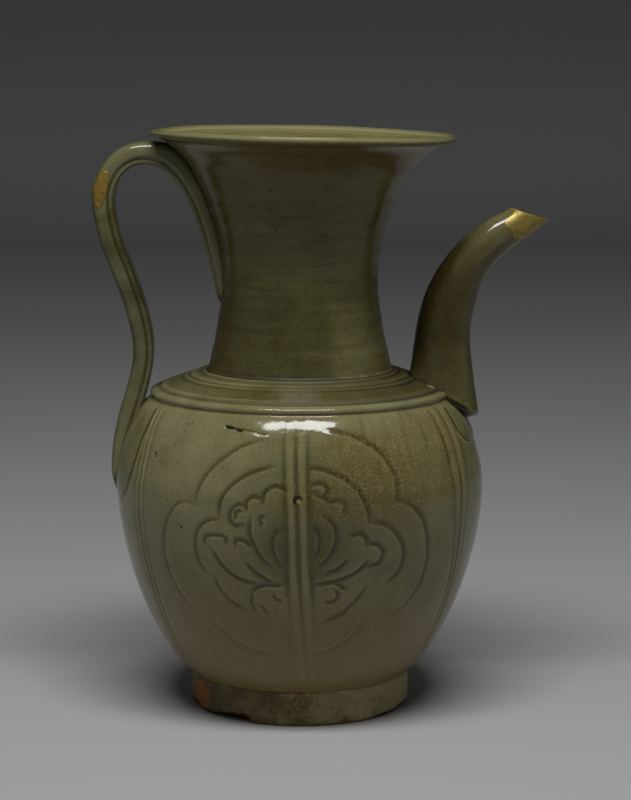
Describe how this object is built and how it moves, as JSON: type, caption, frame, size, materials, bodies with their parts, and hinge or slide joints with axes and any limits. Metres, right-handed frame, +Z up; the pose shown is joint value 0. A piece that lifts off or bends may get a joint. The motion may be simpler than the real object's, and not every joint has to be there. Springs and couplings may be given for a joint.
{
  "type": "wine jug",
  "caption": "Celadon stoneware wine jug: ribbed ovoid body on a foot ring, trumpet neck, arched strap handle and curved pouring spout, standing upright.",
  "frame": {"origin": "on the table under the middle of the whole jug's footprint; the jug's own axis is 8.35 mm from it towards the handle", "axes": "+Z up, +X towards the spout, -X towards the handle, +Y away from the side that carries the pictured medallion"},
  "size_m": [0.1894, 0.1544, 0.2414],
  "materials": {
    "foot_ring": "thin olive celadon glaze, worn at the resting edge",
    "body": "glossy olive-green celadon glaze, faintly crackled",
    "neck": "glossy olive-green celadon glaze",
    "handle": "glossy olive-green celadon glaze",
    "spout": "glossy olive-green celadon glaze",
    "gold_lacquer": "satin gold lacquer fill"
  },
  "bodies": {
    "root": {"foot_ring": "foot_ring", "body": "body", "neck": "neck", "handle": "handle", "handle_repair": "gold_lacquer", "spout": "spout", "spout_tip_repair": "gold_lacquer"}
  },
  "joints": []
}
